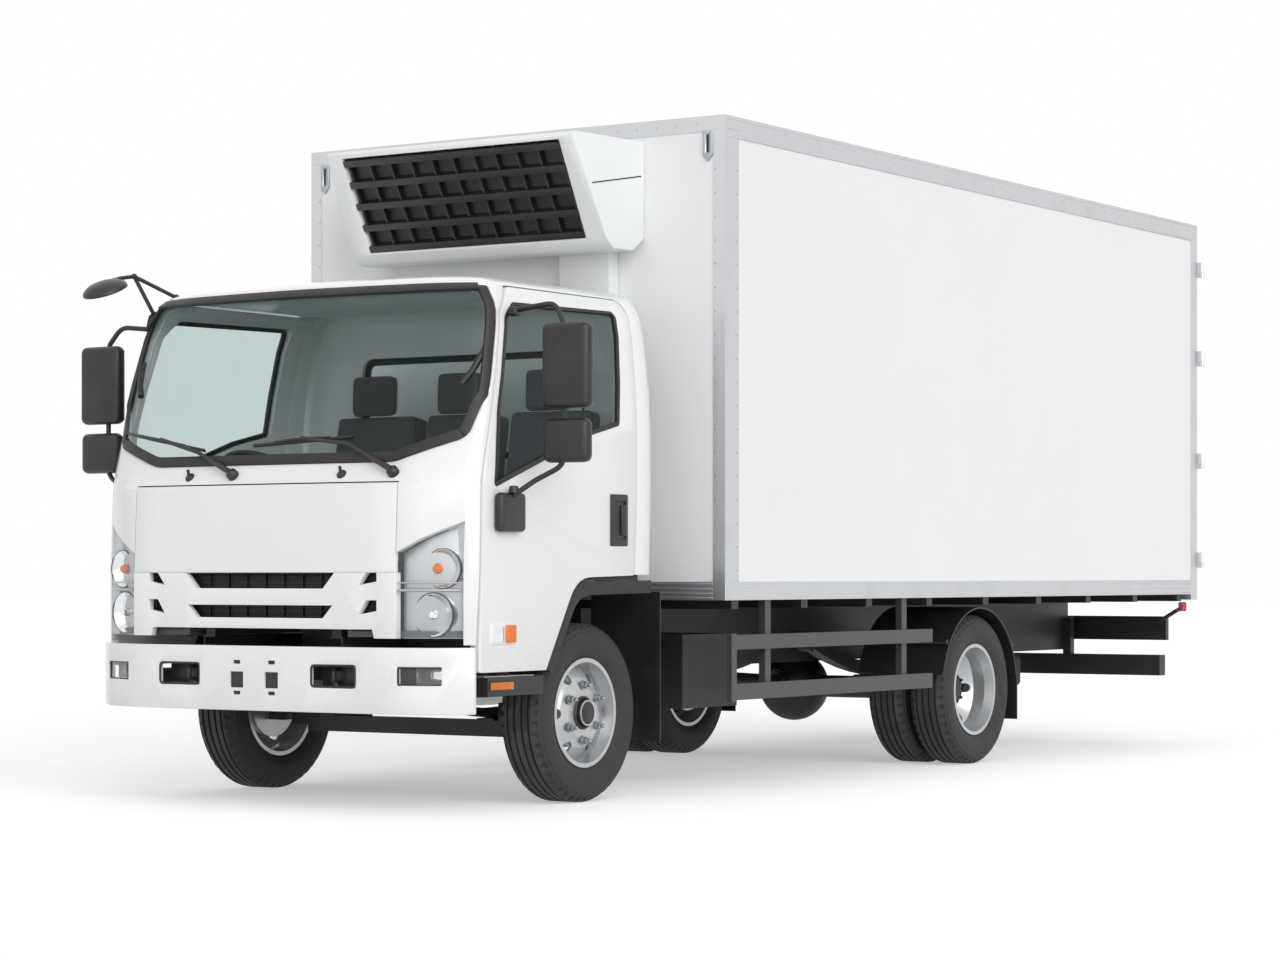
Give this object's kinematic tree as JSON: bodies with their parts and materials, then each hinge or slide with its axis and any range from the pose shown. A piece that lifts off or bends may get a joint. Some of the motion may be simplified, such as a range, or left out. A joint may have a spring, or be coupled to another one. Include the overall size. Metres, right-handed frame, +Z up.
{
  "type": "refrigerated truck",
  "caption": "Cab-over light truck with an insulated box body, a cooling unit on its front wall and twin rear wheels.",
  "frame": {"origin": "on the ground, at the middle of the overall length and width", "axes": "+X forward, +Y to the truck's left, +Z up"},
  "size_m": [7.164, 2.76, 3.02],
  "materials": {
    "white_paint": "gloss",
    "panel_white": "gloss",
    "aluminium": "satin",
    "floor_metal": "satin",
    "black_chassis": "satin",
    "engine_iron": "rough",
    "black_plastic": "matte",
    "grey_guard": "satin",
    "cab_trim": "matte",
    "seat_cloth": "matte",
    "glass": "gloss",
    "lamp_lens": "gloss",
    "tyre": "matte",
    "rim_silver": "satin"
  },
  "bodies": {
    "chassis": {"frame_rails": "black_chassis", "frame_crossmembers": "black_chassis", "engine": "engine_iron", "propeller_shaft": "black_chassis", "front_axle": "black_chassis", "leaf_springs": "black_chassis", "rear_axle": "black_chassis", "fuel_tank": "aluminium", "battery_box": "black_plastic", "front_bumper": "white_paint", "cab_steps": "black_plastic", "side_guards": "grey_guard", "mudguards": "black_plastic", "rear_underrun_bar": "black_chassis", "rear_lamp_bar": "black_chassis", "spare_wheel": "tyre", "body_subframe": "black_chassis", "box_floor": "floor_metal", "box_side_walls": "panel_white", "box_front_wall": "panel_white", "box_roof": "panel_white", "box_edge_trims": "aluminium", "box_rear_frame": "aluminium", "cooling_unit": "white_paint", "cooling_unit_grille": "black_plastic"},
    "cab": {"cab_floor": "cab_trim", "engine_cover": "cab_trim", "footwell_pans": "cab_trim", "cab_front_panel": "white_paint", "cab_back_panel": "white_paint", "cab_roof": "white_paint", "cab_windows": "glass", "front_grille": "white_paint", "headlamps": "lamp_lens", "wheel_arches": "black_plastic", "seats": "seat_cloth", "dashboard": "black_plastic", "under_view_mirror": "black_plastic"},
    "front_lid": {"front_lid": "white_paint"},
    "steering_wheel": {"steering_wheel": "black_plastic"},
    "door_left": {"door_left": "white_paint", "door_glass_left": "glass", "mirror_left": "black_plastic"},
    "knuckle_left": {"knuckle_left": "black_chassis"},
    "front_wheel_left": {"front_rim_left": "rim_silver", "front_tyre_left": "tyre"},
    "rear_wheels_left": {"rear_rims_left": "rim_silver", "rear_tyres_left": "tyre"},
    "rear_door_left": {"rear_door_left": "panel_white"},
    "door_right": {"door_right": "white_paint", "door_glass_right": "glass", "mirror_right": "black_plastic"},
    "knuckle_right": {"knuckle_right": "black_chassis"},
    "front_wheel_right": {"front_rim_right": "rim_silver", "front_tyre_right": "tyre"},
    "rear_wheels_right": {"rear_rims_right": "rim_silver", "rear_tyres_right": "tyre"},
    "rear_door_right": {"rear_door_right": "panel_white"}
  },
  "joints": [
    {"name": "cab_tilt", "type": "hinge", "parent": "chassis", "child": "cab", "pos_m": [3.427, 0, 0.775], "axis": [0, 1, 0], "range_deg": [0, 45]},
    {"name": "front_lid_lift", "type": "hinge", "parent": "cab", "child": "front_lid", "pos_m": [3.54, 0, 1.352], "axis": [0, -1, 0], "range_deg": [0, 60]},
    {"name": "steering_wheel_turn", "type": "hinge", "parent": "cab", "child": "steering_wheel", "pos_m": [2.922, -0.48, 1.4], "axis": [-0.5299, 0, 0.848], "range_deg": [-650, 650]},
    {"name": "door_left_swing", "type": "hinge", "parent": "cab", "child": "door_left", "pos_m": [3.378, 1.003, 1.3], "axis": [0, 0, -1], "range_deg": [0, 70]},
    {"name": "knuckle_left_steer", "type": "hinge", "parent": "chassis", "child": "knuckle_left", "pos_m": [2.492, 0.74, 0.3835], "axis": [0, 0, 1], "range_deg": [-36, 36]},
    {"name": "front_wheel_left_spin", "type": "hinge", "parent": "knuckle_left", "child": "front_wheel_left", "pos_m": [2.492, 0.84, 0.3835], "axis": [0, 1, 0], "continuous": true},
    {"name": "rear_wheels_left_spin", "type": "hinge", "parent": "chassis", "child": "rear_wheels_left", "pos_m": [-0.878, 0.87, 0.3835], "axis": [0, 1, 0], "continuous": true},
    {"name": "rear_door_left_swing", "type": "hinge", "parent": "chassis", "child": "rear_door_left", "pos_m": [-3.57, 1.197, 1.9], "axis": [0, 0, -1], "range_deg": [0, 270]},
    {"name": "door_right_swing", "type": "hinge", "parent": "cab", "child": "door_right", "pos_m": [3.378, -1.003, 1.3], "axis": [0, 0, 1], "range_deg": [0, 70]},
    {"name": "knuckle_right_steer", "type": "hinge", "parent": "chassis", "child": "knuckle_right", "pos_m": [2.492, -0.74, 0.3835], "axis": [0, 0, 1], "range_deg": [-36, 36]},
    {"name": "front_wheel_right_spin", "type": "hinge", "parent": "knuckle_right", "child": "front_wheel_right", "pos_m": [2.492, -0.84, 0.3835], "axis": [0, 1, 0], "continuous": true},
    {"name": "rear_wheels_right_spin", "type": "hinge", "parent": "chassis", "child": "rear_wheels_right", "pos_m": [-0.878, -0.87, 0.3835], "axis": [0, 1, 0], "continuous": true},
    {"name": "rear_door_right_swing", "type": "hinge", "parent": "chassis", "child": "rear_door_right", "pos_m": [-3.57, -1.197, 1.9], "axis": [0, 0, 1], "range_deg": [0, 270]}
  ],
  "couplings": [
    {"joint": "knuckle_right_steer", "follows": "knuckle_left_steer", "ratio": 1},
    {"joint": "steering_wheel_turn", "follows": "knuckle_left_steer", "ratio": 18}
  ]
}
